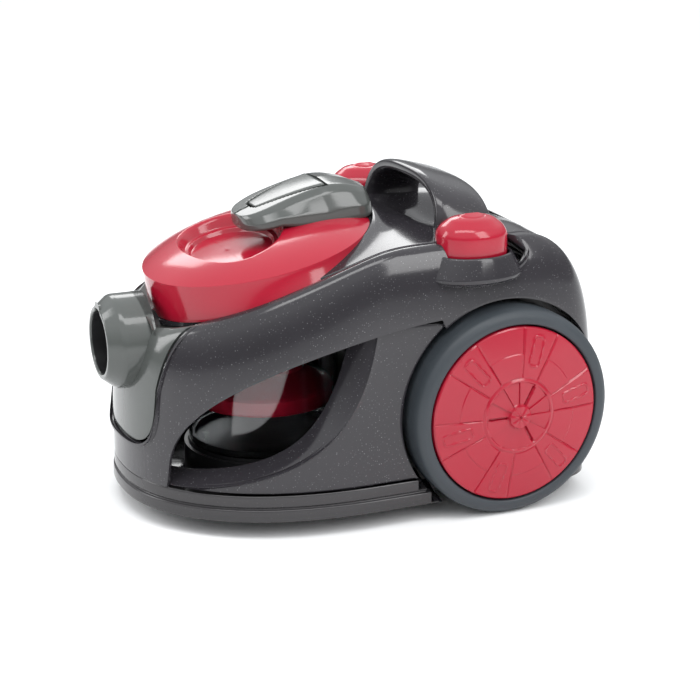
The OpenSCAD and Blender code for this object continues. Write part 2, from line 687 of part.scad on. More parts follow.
module lid_place() { translate([0, -lid_y, lid_z]) rotate([lid_tilt, 0, 0]) children(); }
LID_TOP = [[0, -13], [48, -13], [58, -9], [64, 3], [70, 6], [80, 4]];
module lid_solid() {
    lid_place() rotate_extrude() polygon([each LID_TOP, for (a = [0:15:90]) [lid_r - 5 + 5 * sin(a), -3.5 + 5 * cos(a)],
        [lid_r, -70], [lid_r - wall, -70], [lid_r - wall, -5], [80, 0], [70, 2], [65, -1], [60, -13], [48, -17], [0, -17]]);
}
module cup_lid() {
    color(RED) intersection() {
        lid_solid();
        above_seam(0.8);
    }
}
module lid_seal() {
    color(BLACK) difference() {
        cup_place() translate([0, 0, 120]) tube(cup_r + 3, cup_r - 4.5, 120);
        above_seam(0.6);
        translate([0, 0, -1.8]) below_seam();
    }
}
// Grip that covers the rear of the lid
module cup_handle() {
    steps = 20;
    function half(t) = 8 + 20 * pow(sin(90 * clamp01(t * 1.6)), 0.6) + 4 * t;
    rings = [for (i = [0:steps])
        let (t = i / steps, y = lerp(-24, 89, t), w = half(t) * (i == 0 ? 0.7 : 1), h = 7 + 9 * sin(180 * pow(t, 1.4)), z = 8 + 10 * sin(150 * t))
        [for (k = [0:19]) let (q = 18 * k) [w * signed_pow(cos(q), 0.6), y, z + h / 2 * signed_pow(sin(q), 0.6)]]];
    color(GREY) difference() {
        lid_place() loft([for (r = rings) [for (k = [19:-1:0]) r[k]]]);
        lid_place() translate([-11.5, 4, 20]) cube([23, 33, 30]);
    }
}
module release_button() { color(GREY) lid_place() translate([-11, 4.5, 22]) cube([22, 32, 6]); }

module outlet_duct() {
    front = -cup_y + cup_r + 1.5;
    color(BLACK) difference() {
        union() {
            translate([-24, front, 62]) cube([48, 20, 138]);
        }
        translate([-21, front + 3, 65]) cube([42, 14, 132]);
        translate([-17, front - 5, 177]) cube([34, 15, 19]);
        translate([0, front + 8, motor_z]) along_y() cylinder(r = 18, h = 30);
    }
}

// ---- motor, reel and chassis ----

module chassis_plate() {
    color(BLACK) difference() {
        union() {
            intersection() {
                translate([-96, 14, well_floor]) cube([192, 168, wall]);
                linear_extrude(60) polygon([for (u = [-177.5:5:180]) base_outline(u, wall + GAP)]);
            }
            for (p = screw_places()) translate([p[0], p[1], well_floor]) cylinder(r = 5, h = 14);
            for (y = [44, 124]) translate([-34, y, well_floor]) cube([68, 12, y < 60 ? motor_z - fan_r - well_floor - 2 : motor_z - motor_r - well_floor - 2]);
        }
        for (p = screw_places()) translate([p[0], p[1], 0]) cylinder(r = 1.9, h = 27);
    }
}
FAN_Y = 27;
module fan_housing() {
    color(METAL) translate([0, FAN_Y, motor_z]) along_y() difference() {
        cylinder(r = fan_r, h = 36);
        translate([0, 0, 2]) cylinder(r = fan_r - 2, h = 32);
        translate([0, 0, -1]) cylinder(r = 18, h = 10);
        translate([0, 0, 20]) cylinder(r = 24, h = 30);
    }
}
module motor_can() {
    color([0.6, 0.6, 0.62]) translate([0, FAN_Y + 36, motor_z]) along_y() difference() {
        cylinder(r = motor_r, h = 78);
        translate([0, 0, -1]) cylinder(r = motor_r - 2, h = 75);
        translate([0, 0, 60]) cylinder(r = 4 + RUN, h = 30);
        for (i = [0:7]) rotate([0, 0, 45 * i + 22]) translate([24, 0, 60]) cylinder(r = 6, h = 30);
    }
}
// Fan wheel with its shaft and armature, the part of the motor that turns
module impeller() {
    color(METAL) translate([0, FAN_Y, motor_z]) along_y() {
        translate([0, 0, 24]) cylinder(r = 48, h = 1.6);
        translate([0, 0, 11]) tube(48, 17, 1.6);
        for (i = [0:8]) rotate([0, 0, 40 * i]) translate([17, -1, 11.5]) rotate([0, 0, 25]) cube([28, 1.6, 13]);
        translate([0, 0, 8]) cylinder(r = 4, h = 111);
        translate([0, 0, 50]) cylinder(r = 26, h = 40);
        translate([0, 0, 94]) cylinder(r = 13, h = 12);
    }
}
module motor_mounts() {
    color(BLACK) difference() {
        union() {
            translate([-30, 46, motor_z - fan_r - 2]) cube([60, 8, 14]);
            translate([-26, 124, motor_z - motor_r - 2]) cube([52, 12, 14]);
        }
        translate([0, FAN_Y, motor_z]) along_y() cylinder(r = fan_r, h = 36);
        translate([0, FAN_Y + 36, motor_z]) along_y() cylinder(r = motor_r, h = 78);
    }
}

module reel_bracket() {
    color(BLACK) {
        difference() {
            translate([-92, 25, reel_z - 5]) cube([184, 130, wall]);
            translate([0, reel_y, 0]) cylinder(r = axle_r, h = 300);
        }
        // ears of the brake lever's pivot
        for (side = [-1, 1]) difference() {
            translate([PIVOT[0] - 3, button_y + side * 7.5 - 1.5, reel_z - 3]) cube([6, 3, PIVOT[1] + 4 - reel_z + 3]);
            translate([PIVOT[0], button_y - 20, PIVOT[1]]) along_y() cylinder(r = 2, h = 40);
        }
        for (x = [-86, 86], y = [32, 148]) translate([x, y, well_floor + wall]) cylinder(r = 5, h = reel_z - 4 - well_floor - wall);
    }
}
module reel_axle() {
    color(METAL) translate([0, reel_y, reel_z - 8]) {
        cylinder(r = 10, h = 3);
        cylinder(r = axle_r, h = reel_top - reel_z + 20);
    }
}
module cord_reel() {
    color([0.75, 0.75, 0.72]) translate([0, reel_y, reel_z]) difference() {
        union() {
            cylinder(r = reel_r, h = 2.5);
            cylinder(r = 30, h = 34);
            translate([0, 0, 31.5]) cylinder(r = reel_r, h = 2.5);
        }
        translate([0, 0, -1]) cylinder(r = axle_r + RUN, h = 60);
        for (i = [0:5]) rotate([0, 0, 60 * i]) translate([46, 0, -1]) cylinder(r = 10, h = 60);
    }
}
module reel_spring_case() {
    color(METAL) translate([0, reel_y, reel_top + 0.5]) difference() {
        cylinder(r = 27, h = 10);
        translate([0, 0, -1]) cylinder(r = axle_r, h = 20);
    }
}
module cord_outlet() {
    // the collar stands out as far as the tail above it
    lip = top_rear - base_rear + 4.4;
    color(BLACK) translate([0, base_rear - 4.4, 70]) along_y() rotate_extrude()
        polygon([[5, -4], [11.9, -4], [11.9, 4.8], [15, 4.8], [15, lip - 3], [12, lip], [8, lip], [5, 5]]);
}
module screws() {
    color(METAL) for (p = screw_places()) translate([p[0], p[1], 0]) {
        translate([0, 0, ground_gap - 1.2]) cylinder(r = 4, h = 2.4);
        translate([0, 0, ground_gap]) cylinder(r = 1.9, h = 13);
    }
}

base_pan();
upper_shell();
side_panel_left();
side_panel_right();
nose_cover();
rear_deck();
rear_cover();
exhaust_grille();
exhaust_filter();
filter_tray();
carry_handle();
button_bezel_left();
button_bezel_right();
power_button();
rewind_button();
power_spring();
rewind_spring();
power_switch();
brake_lever();
brake_pivot();
wheel_well_left();
wheel_well_right();
axle_left();
axle_right();
tyre_left();
wheel_disc_left();
hubcap_left();
tyre_right();
wheel_disc_right();
hubcap_right();
axle_washers();
caster_stem();
caster_fork();
caster_wheel();
caster_pin();
inlet_seal();
inlet_duct();
cup_seat();
cup_rim();
cup_wall();
cup_base();
separator();
shroud();
cup_filter();
cup_lid();
lid_seal();
cup_handle();
release_button();
outlet_duct();
chassis_plate();
reel_bracket();
cord_reel();
reel_axle();
reel_spring_case();
fan_housing();
motor_can();
impeller();
motor_mounts();
cord_outlet();
screws();
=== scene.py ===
# %% [markdown]
# A canister vacuum cleaner with a lift-out dust cup, in Blender.
# The measured model comes in as a fixed frame. This lesson gives its outer pieces finer
# shapes, each worked out as a surface with numpy, and gives every piece its finish.

# %% Start from the frame
import bpy, bmesh, math
import numpy as np
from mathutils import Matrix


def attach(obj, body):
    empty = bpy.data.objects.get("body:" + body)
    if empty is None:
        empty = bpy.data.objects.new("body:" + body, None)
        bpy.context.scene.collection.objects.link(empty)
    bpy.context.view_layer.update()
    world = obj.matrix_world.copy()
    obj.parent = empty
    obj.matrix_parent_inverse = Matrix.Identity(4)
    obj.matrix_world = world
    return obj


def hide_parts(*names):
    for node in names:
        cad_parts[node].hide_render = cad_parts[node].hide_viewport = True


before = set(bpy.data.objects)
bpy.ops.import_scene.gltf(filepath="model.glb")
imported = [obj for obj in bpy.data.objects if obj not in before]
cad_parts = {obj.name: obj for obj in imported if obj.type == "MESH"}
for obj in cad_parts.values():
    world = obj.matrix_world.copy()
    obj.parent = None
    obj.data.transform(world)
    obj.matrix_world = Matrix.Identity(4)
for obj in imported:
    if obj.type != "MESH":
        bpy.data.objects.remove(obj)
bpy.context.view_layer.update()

# %% [markdown]
# Camera, floor and light. The maker stands at the front left corner of the machine and
# looks slightly down on it with a long lens, so the wheel stays nearly round.
# Two large soft boxes give the long white streaks that glossy plastic needs; a pale
# surround alone would leave it flat.

# %% Camera
def direction(azimuth, elevation):
    """Unit vector towards a place seen at an azimuth (0 is the front, 90 the left side) and elevation."""
    a, e = math.radians(azimuth), math.radians(elevation)
    return np.array([math.sin(a) * math.cos(e), -math.cos(a) * math.cos(e), math.sin(e)])

from mathutils import Vector

AIM = np.array([0.0, 0.0182, 0.1065])
AWAY = direction(67.1, 17.6)
camera = bpy.data.objects.new("camera", bpy.data.cameras.new("camera"))
camera.data.lens = 91.33
camera.data.clip_end = 60
camera.location = AIM + AWAY * 1.492
camera.rotation_euler = Vector(-AWAY).to_track_quat("-Z", "Y").to_euler()
bpy.context.collection.objects.link(camera)
bpy.context.scene.camera = camera
print("camera at", [round(c, 3) for c in camera.location])

# %% Floor and lights
def link_nodes(tree, *pairs):
    for a, b in pairs:
        tree.links.new(a, b)

def soft_box(name, azimuth, elevation, distance, width, height, watts):
    """A rectangular area light that faces the machine from a given direction."""
    lamp = bpy.data.lights.new(name, "AREA")
    lamp.shape = "RECTANGLE"
    lamp.size, lamp.size_y, lamp.energy = width, height, watts
    o = bpy.data.objects.new(name, lamp)
    d = direction(azimuth, elevation)
    o.location = AIM + d * distance
    o.rotation_euler = Vector(-d).to_track_quat("-Z", "Y").to_euler()
    bpy.context.collection.objects.link(o)
    return o

soft_box("front_box", -24, 24, 1.6, 0.45, 0.9, 7)
soft_box("key_box", 64, 66, 1.5, 1.3, 0.4, 9)
soft_box("side_box", 118, 34, 1.7, 0.5, 1.1, 9)
soft_box("back_box", 262, 34, 1.8, 1.2, 0.5, 8)

# The room itself: a pale ceiling over dim walls, so the floor is evenly lit and the sides stay deep.
world = bpy.data.worlds.new("studio")
bpy.context.scene.world = world
world.use_nodes = True
w = world.node_tree
sky = w.nodes["Background"]
sky.inputs["Color"].default_value = (0.96, 0.98, 1.0, 1)
coord, split, ramp = (w.nodes.new("ShaderNode" + k) for k in ("TexCoord", "SeparateXYZ", "MapRange"))
for key, v in (("From Min", 0.12), ("From Max", 0.55), ("To Min", 0.28), ("To Max", 1.22)):
    ramp.inputs[key].default_value = v
link_nodes(w, (coord.outputs["Generated"], split.inputs[0]), (split.outputs["Z"], ramp.inputs["Value"]),
           (ramp.outputs["Result"], sky.inputs["Strength"]))
bpy.context.scene.view_settings.view_transform = "Standard"

floor_mesh = bpy.data.meshes.new("studio_floor")
floor_mesh.from_pydata([(-9, -9, 0), (9, -9, 0), (9, 9, 0), (-9, 9, 0)], [], [(0, 1, 2, 3)])
studio_floor = bpy.data.objects.new("studio_floor", floor_mesh)
bpy.context.collection.objects.link(studio_floor)
paper = bpy.data.materials.new("floor_paper")
paper.use_nodes = True
paper.node_tree.nodes["Principled BSDF"].inputs["Base Color"].default_value = (0.95, 0.95, 0.95, 1)
paper.node_tree.nodes["Principled BSDF"].inputs["Roughness"].default_value = 0.9
floor_mesh.materials.append(paper)

# %% [markdown]
# Finishes. Moulded plastic is never one flat colour: its tint drifts a little over a
# large piece, its gloss changes where hands polish it, and its surface carries a very
# fine orange peel. One recipe makes them all from noise on Object coordinates, and the
# speckled shell adds fine pale flecks in the plastic.

# %% The finish recipe
def finish(name, colour, rough=0.3, spread=0.12, metal=0.0, coat=0.0, peel=0.02, peel_size=0.0015,
           drift=0.12, fleck=0.0, scuff=0.08, specular=0.5):
    """A node material: colour drift, gloss variation, fine bump and, where asked, metallic flecks."""
    m = bpy.data.materials.new(name)
    m.use_nodes = True
    t = m.node_tree
    n, bsdf = t.nodes, t.nodes["Principled BSDF"]
    at = n.new("ShaderNodeTexCoord").outputs["Object"]

    def noise(scale, detail=3, rough=0.5):
        x = n.new("ShaderNodeTexNoise")
        x.inputs["Scale"].default_value = scale
        x.inputs["Detail"].default_value = detail
        x.inputs["Roughness"].default_value = rough
        link_nodes(t, (at, x.inputs["Vector"]))
        return x.outputs["Fac"]

    def remap(value, a, b, lo=0.3, hi=0.7):
        x = n.new("ShaderNodeMapRange")
        for key, v in (("From Min", lo), ("From Max", hi), ("To Min", a), ("To Max", b)):
            x.inputs[key].default_value = v
        link_nodes(t, (value, x.inputs["Value"]))
        return x.outputs["Result"]

    def mix(fac, a, b):
        x = n.new("ShaderNodeMix")
        x.data_type = "RGBA"
        for key, v in ((0, fac), (6, a), (7, b)):
            if isinstance(v, bpy.types.NodeSocket):
                link_nodes(t, (v, x.inputs[key]))
            else:
                x.inputs[key].default_value = v
        return x.outputs[2]

    c = np.array(colour)
    low, high = [tuple(np.clip(c * (1 + k * drift), 0, 1)) + (1,) for k in (-1, 1)]
    shade = mix(remap(noise(9, 4), 0, 1), low, high)
    dull = remap(noise(38, 5, 0.65), rough * (1 - spread), rough * (1 + spread))
    # faint scuffs: stretched noise that lifts the roughness in narrow streaks
    turn = n.new("ShaderNodeMapping")
    turn.inputs["Scale"].default_value = (30, 260, 160)
    turn.inputs["Rotation"].default_value = (0.5, 0.3, 0.4)
    streak = n.new("ShaderNodeTexNoise")
    streak.inputs["Scale"].default_value = 1.0
    streak.inputs["Detail"].default_value = 2
    link_nodes(t, (at, turn.inputs["Vector"]), (turn.outputs["Vector"], streak.inputs["Vector"]))
    add = n.new("ShaderNodeMath")
    add.operation = "ADD"
    link_nodes(t, (dull, add.inputs[0]), (remap(streak.outputs["Fac"], 0, scuff, 0.66, 0.8), add.inputs[1]))
    link_nodes(t, (add.outputs[0], bsdf.inputs["Roughness"]))
    if fleck:
        cells = n.new("ShaderNodeTexVoronoi")
        cells.inputs["Scale"].default_value = 620
        link_nodes(t, (at, cells.inputs["Vector"]))
        near = remap(cells.outputs["Distance"], 1, 0, 0.04, 0.26)
        chosen = remap(cells.outputs["Color"], 0, 1, 0.5, 0.95)
        both = n.new("ShaderNodeMath")
        both.operation = "MULTIPLY"
        link_nodes(t, (near, both.inputs[0]), (chosen, both.inputs[1]))
        shade = mix(both.outputs[0], shade, (fleck, fleck, fleck * 1.04, 1))
    link_nodes(t, (shade, bsdf.inputs["Base Color"]))
    bump = n.new("ShaderNodeBump")
    bump.inputs["Strength"].default_value = peel
    bump.inputs["Distance"].default_value = 0.0006
    link_nodes(t, (noise(1 / peel_size, 2), bump.inputs["Height"]), (bump.outputs["Normal"], bsdf.inputs["Normal"]))
    bsdf.inputs["Metallic"].default_value = metal
    bsdf.inputs["Specular IOR Level"].default_value = specular
    bsdf.inputs["Coat Weight"].default_value = coat
    bsdf.inputs["Coat Roughness"].default_value = 0.04
    return m

FINISH = {
    "speckled_shell": finish("speckled_shell", (0.026, 0.024, 0.028), 0.13, fleck=0.30, scuff=0.05),
    "base_gloss": finish("base_gloss", (0.028, 0.026, 0.028), 0.17, fleck=0.08),
    "grey_gloss": finish("grey_gloss", (0.075, 0.081, 0.077), 0.13, scuff=0.05),
    "red_gloss": finish("red_gloss", (0.37, 0.008, 0.026), 0.13, drift=0.06, scuff=0.04),
    "black_plastic": finish("black_plastic", (0.014, 0.014, 0.015), 0.38, peel=0.10, peel_size=0.0008),
    "tyre_rubber": finish("tyre_rubber", (0.040, 0.048, 0.056), 0.50, peel=0.16, peel_size=0.0009, specular=0.4),
    "seal_rubber": finish("seal_rubber", (0.020, 0.020, 0.022), 0.62, peel=0.10),
    "steel": finish("steel", (0.55, 0.55, 0.57), 0.28, metal=1.0, peel=0.05),
    "cast_alloy": finish("cast_alloy", (0.42, 0.42, 0.44), 0.45, metal=0.9, peel=0.15),
    "mesh_grey": finish("mesh_grey", (0.10, 0.10, 0.11), 0.5, peel=0.10),
    "filter_paper": finish("filter_paper", (0.78, 0.77, 0.72), 0.9, peel=0.35, peel_size=0.0012),
    "reel_plastic": finish("reel_plastic", (0.55, 0.55, 0.53), 0.45, peel=0.06),
}
print("finishes:", ", ".join(FINISH))

# %% Clear plastic of the dust cup
def clear(name):
    """Slightly smoky transparent plastic: colour and gloss vary a little, light mostly passes."""
    m = finish(name, (0.90, 0.92, 0.93), 0.05, drift=0.02, peel=0.01)
    b = m.node_tree.nodes["Principled BSDF"]
    b.inputs["Transmission Weight"].default_value = 1.0
    b.inputs["IOR"].default_value = 1.12
    b.inputs["Specular IOR Level"].default_value = 0.9
    b.inputs["Coat Weight"].default_value = 1.0
    return m

FINISH["clear_plastic"] = clear("clear_plastic")

# %% [markdown]
# Every CAD node takes the finish of its own slot, so the pieces inside the machine are
# finished as well as the outer ones that the lesson builds again below.

# %% Finish the CAD nodes
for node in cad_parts.values():
    for k, old in enumerate(node.data.materials):
        node.data.materials[k] = FINISH[old.name.split(".")[0]]
print("finished", len(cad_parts), "CAD nodes")

# %% [markdown]
# Surfaces as grids. Each outer piece is a function of two numbers: one runs round or
# along the piece, the other across it. The function gives a whole table of points at
# once, and one helper turns any such table into a smooth mesh with its faces outwards.

# %% From a table of points to a piece
def piece(name, grid, slot, body, around=False, wrap=False, inside=(0, 0, 100), wall=0.0, edge=0.0, smooth=0,
          stands_for=(), sharp=50):
    """Mesh of a (rows, columns, 3) table in millimetres. around joins the last row to the first, wrap the
    last column to the first; the faces are turned away from the point inside."""
    rows, cols = grid.shape[:2]
    r = np.arange(rows if around else rows - 1)[:, None]
    c = np.arange(cols if wrap else cols - 1)[None, :]
    r2, c2 = (r + 1) % rows, (c + 1) % cols
    quads = np.stack([r * cols + c, r2 * cols + c, r2 * cols + c2, r * cols + c2], -1).reshape(-1, 4)
    co = grid.reshape(-1, 3) / 1000.0
    p = co[quads]
    normal = np.cross(p[:, 2] - p[:, 0], p[:, 3] - p[:, 1])
    away = p.mean(1) - np.array(inside) / 1000.0
    if (normal * away).sum() < 0:
        quads = quads[:, ::-1]
    mesh = bpy.data.meshes.new(name)
    mesh.from_pydata(co, [], quads)
    bm = bmesh.new()
    bm.from_mesh(mesh)
    bmesh.ops.remove_doubles(bm, verts=bm.verts, dist=2e-6)
    bm.to_mesh(mesh)
    bm.free()
    mesh.polygons.foreach_set("use_smooth", np.ones(len(mesh.polygons), bool))
    mesh.set_sharp_from_angle(angle=math.radians(sharp))
    mesh.materials.append(FINISH[slot])
    o = bpy.data.objects.new(name, mesh)
    bpy.context.collection.objects.link(o)
    if wall:
        s = o.modifiers.new("wall", "SOLIDIFY")
        s.thickness, s.offset = wall / 1000.0, -1
    if edge:
        b = o.modifiers.new("edge", "BEVEL")
        b.width, b.segments, b.limit_method, b.angle_limit = edge / 1000.0, 3, "ANGLE", math.radians(40)
        b.harden_normals = False
    if smooth:
        u = o.modifiers.new("smooth", "SUBSURF")
        u.levels = u.render_levels = smooth
    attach(o, body)
    if stands_for:
        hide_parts(*stands_for)
    print(f"{name}: {len(mesh.polygons)} faces on {body}")
    return o

def turned(profile, n=96):
    """A profile of (radius, height) pairs carried round the Z axis in n steps."""
    a = np.linspace(0, 2 * np.pi, n, endpoint=False)[:, None]
    r, h = np.array(profile, float).T[:, None, :]
    return np.stack(np.broadcast_arrays(r * np.cos(a), r * np.sin(a), h), -1)

def rounded(points, radius, steps=4):
    """A polyline whose inner corners become arcs: each corner is a short quadratic curve."""
    p = np.array(points, float)
    out = [p[0]]
    for before, here, after in zip(p[:-2], p[1:-1], p[2:]):
        a, b = before - here, after - here
        la, lb = np.linalg.norm(a), np.linalg.norm(b)
        k = min(radius, la * 0.49, lb * 0.49)
        s, e = here + a / la * k, here + b / lb * k
        t = np.linspace(0, 1, steps + 1)[:, None]
        out.extend((1 - t) ** 2 * s + 2 * t * (1 - t) * here + t * t * e)
    out.append(p[-1])
    return np.array(out)

def lerp(a, b, t):
    return a + (b - a) * t

def signed_pow(v, p):
    return np.sign(v) * np.abs(v) ** p

# %% [markdown]
# The body's skin. Seen from above, the rim at the bottom and the top edge are both
# ovals with slightly squared corners; the skin swells from one to the other, steep at
# the rim and rolling over at the top. The formula has the same form as the measured
# model's shell. At the tail its numbers differ: the rim reaches further back and the
# top edge falls away sooner, so the fine surface leaves the model's by millimetres there.

# %% The formula of the skin
RIM_Z, WALL = 36.0, 3.0

def oval_at(u, mid, front, rear, half, n_front, n_rear):
    """Plan outline: a superellipse, with one exponent in front of its widest place and another behind."""
    c, s = np.cos(np.radians(u)), np.sin(np.radians(u))
    m = np.where(c >= 0, n_front, n_rear)
    reach = np.where(c >= 0, front + mid, rear - mid)
    return half * signed_pow(s, 2 / m), mid - reach * signed_pow(c, 2 / m)

def base_oval(u, inset=0.0):
    return oval_at(u, -12, 183 - inset, 194 - inset, 129 - inset, 2.24, 8)

def top_oval(u, inset=0.0):
    return oval_at(u, 20, 156 - inset, 197.5 - inset, 105 - inset, 2.25, 4)

def soft_min(a, b, k):
    return (a + b - np.sqrt((a - b) ** 2 + k * k)) / 2

def top_z(y):
    """Height of the top edge: it rises along a slope, levels off at the deck and falls away at the tail."""
    return soft_min(156 + 0.41 * (y + 156), 222, 8) - 0.0125 * np.maximum(0, y - 119) ** 2

def skin(u, w, inset=0.0):
    """A point of the skin. u goes round the plan in degrees, w climbs from the rim (0) to the top edge (1)."""
    bx, by = base_oval(u, inset)
    tx, ty = top_oval(u, inset)
    h = 1 - (1 - np.clip(w, 0, 1) ** 3) ** (1 / 3)
    return np.stack([lerp(bx, tx, h), lerp(by, ty, h), lerp(RIM_Z, top_z(ty) - inset * w, w)], -1)

def climb(u, z, inset=0.0):
    """The w that brings the skin to a height z."""
    return np.clip((z - RIM_Z) / (top_z(top_oval(u, inset)[1]) - inset - RIM_Z), 0, 1)

def skin_at(y, z, inset=0.0):
    """The skin's point at a given place along the body and height, on the left side, by halving the angle."""
    y, z, inset = np.broadcast_arrays(np.asarray(y, float), z, inset)
    low, high = np.zeros_like(y), np.full_like(y, 180.0)
    for _ in range(26):
        mid = (low + high) / 2
        before = skin(mid, climb(mid, z, inset), inset)[..., 1] < y
        low, high = np.where(before, mid, low), np.where(before, high, mid)
    p = skin(mid, climb(mid, z, inset), inset)
    return np.stack([p[..., 0], y, z], -1)

WHEEL_Y, WHEEL_Z, ARCH_R = 100.0, 85.0, 90.0

def arch_z(y):
    return np.where(np.abs(y - WHEEL_Y) < ARCH_R, WHEEL_Z + np.sqrt(np.maximum(0, ARCH_R**2 - (y - WHEEL_Y) ** 2)), 0)

def edge_z(y):
    """Lower edge of the side sweep: it climbs from its tip at the nose, then follows the wheel arch."""
    s = np.clip((y + 164) / 222, 0, 1)
    sweep = 37 + 128 * (1 - (1 - s) ** 1.6) ** 0.37
    return np.where(y < -164, RIM_Z, np.where(y < 45, np.maximum(sweep, arch_z(y)), arch_z(y)))

def sweep_w(u):
    """The climb at which the skin meets the sweep's lower edge, by halving."""
    low, high = np.zeros_like(u), np.ones_like(u)
    for _ in range(24):
        mid = (low + high) / 2
        p = skin(u, mid)
        under = p[..., 2] < edge_z(p[..., 1])
        low, high = np.where(under, mid, low), np.where(under, high, mid)
    return np.where(np.abs(u) < 28, 0, mid)

def even_angles(low, high, n):
    """Angles whose places along the skin are evenly spaced: the ovals' square corners bunch plain angles up."""
    fine = 90 + 90 * signed_pow(np.linspace(-1, 1, 8001), 5)
    fine = np.concatenate([[low], fine[(fine > low) & (fine < high)], [high]])
    run = np.concatenate([[0], np.cumsum(np.linalg.norm(np.diff(skin(fine, 0.85), axis=0), axis=1))])
    return np.interp(np.linspace(0, run[-1], n), run, fine)

print("widest place of the skin:", skin(np.array([90.0]), np.array([0.0]))[0].round(1))

# %% [markdown]
# The upper shell is one moulding: the fender round the nose and the band that sweeps
# back over both wheels. It is a sheet between a lower edge and an upper edge, with a
# real wall and softened edges that catch the light.

# %% Upper shell
BUTTON_X, BUTTON_Y = 106.0, 76.0

def nose_notch(u, top):
    """Height of the notch for the nose cover: a U with a round bottom that flares out to the top edge."""
    a = np.abs(u)
    cup = lerp(64, 110, 1 - (1 - np.clip(a / 24, 0, 1) ** 5) ** (1 / 3))
    return lerp(cup, top, np.where(a < 24, 0, 1 - (1 - np.clip((a - 24) / 14, 0, 1)) ** 3.2))

def shell_top_w(u):
    """Upper edge of the shell: notched at the nose, and dipped where a button's collar covers it."""
    tx, ty = top_oval(u)
    high = top_z(ty)
    dip = 24 * np.sqrt(np.clip(1 - ((ty - BUTTON_Y) / 32) ** 2, 0, 1))
    z = np.where(np.abs(u) < 38, nose_notch(u, high), high - dip)
    return np.clip((z - RIM_Z) / (high - RIM_Z), 0, 1)

half_turn = np.concatenate([np.linspace(0, 20, 12), np.linspace(20.5, 26, 18), np.linspace(26.6, 38, 16),
                            even_angles(38.6, 160, 150)])
u = np.concatenate([-half_turn[:0:-1], half_turn])[:, None]
v = np.sin(np.linspace(0, np.pi / 2, 26))[None, :]
def ledge(grid, width):
    """Adds an inward shelf along a sheet's top edge, on which the lid's skirt rests."""
    edge = grid[:, -1:]
    inward = np.array([0, -55.0, 0]) - edge * (1, 1, 0)
    inward = inward / np.linalg.norm(inward, axis=-1, keepdims=True)
    steps = np.array([0.1, 0.4, 1.0])[None, :, None]
    return np.concatenate([grid, edge + inward * steps * width[..., None] + np.array([0, 0, -2.5]) * steps], 1)

shell = skin(u, lerp(sweep_w(u), shell_top_w(u), v))
shell = ledge(shell, 13 * np.clip((np.abs(u) - 36.5) / 3, 0, 1) * np.clip((96 - np.abs(u)) / 8, 0, 1))
piece("upper_shell_fine", shell, "speckled_shell", "body", wall=WALL, edge=0.9,
      stands_for=["upper_shell"])

# %% [markdown]
# The side panel lies behind the clear cup. Its front edge is a long S that starts at
# the tip of the nose and climbs back and up under the band, and it rolls inwards there
# in a scooped lip. Both the S and the lip's inner edge are smooth four-point curves.

# %% Side panels
def curve(a, b, c, d, t):
    """Cubic curve through a and d, pulled towards b and c."""
    return (1 - t) ** 3 * a + 3 * t * (1 - t) ** 2 * b + 3 * t * t * (1 - t) * c + t**3 * d

def side_panel(t, v):
    """t runs along the S from nose to band. v from -1 to 0 is the scooped lip, from 0 to 1 the flat of the
    panel up to the wheel arch."""
    ridge = np.stack([curve(-168, -90, -25, -10, t), curve(37, 46, 60, 165, t)], -1)
    inner = np.stack([curve(-156, -85, -48, -24, t), curve(44, 58, 62, 165, t)], -1)
    a = np.radians(lerp(213, 124, t))
    arch = np.stack([WHEEL_Y + (ARCH_R + 0.5) * np.cos(a), WHEEL_Z + (ARCH_R + 0.5) * np.sin(a)], -1)
    yz = np.where(v[..., None] < 0, lerp(ridge, inner, np.clip(-v, 0, 1)[..., None]),
                  lerp(ridge, arch, np.clip(v, 0, 1)[..., None]))
    k = np.clip(-v, 0, 1)
    inset = 3.4 + 17 * k**0.8 * (0.35 + 0.65 * k) - 1.2 * np.exp(-((v / 0.05) ** 2))
    return skin_at(yz[..., 0], np.maximum(yz[..., 1], RIM_Z + 0.3), inset)

t, v = np.meshgrid(np.linspace(0, 1, 64), np.concatenate([np.linspace(-1, 0, 18), np.linspace(0.03, 1, 22)]), indexing="ij")
left_panel = side_panel(t, v)
piece("side_panel_left_fine", left_panel, "speckled_shell", "body", wall=WALL, edge=0.8, stands_for=["side_panel_left"])
piece("side_panel_right_fine", left_panel * (-1, 1, 1), "speckled_shell", "body", wall=WALL, edge=0.8,
      stands_for=["side_panel_right"])

# %% [markdown]
# The base is a tray. Its side is drawn as a profile carried round the plan outline: a
# rounded foot, a fine groove, and a step under the shell. Underneath, the same loops
# close in on the pocket of the front caster. Behind the wheels the tray is narrower.

# %% Base tray
def base_loop(u, out, z):
    """One loop of the tray: the plan outline grown by out, cut back where the rear wheels stand."""
    x, y = oval_at(u, -12, 183 + out, 188 + out, 129 + out, 2.24, 8)
    reach = math.sqrt(ARCH_R**2 - (WHEEL_Z - z) ** 2)
    room = np.where(np.abs(y - WHEEL_Y) < reach, 99.6, 400.0)
    return np.stack([np.clip(x, -room, room), y, np.full_like(x, z)], -1)

def caster_loop(u, radius, z):
    """One loop round the caster's swivel, with its points in line with the outline's."""
    p = base_loop(u, 0, z)
    a = np.arctan2(p[:, 0], -(p[:, 1] + 150))
    return np.stack([radius * np.sin(a), -150 - radius * np.cos(a), np.full_like(a, z)], -1)

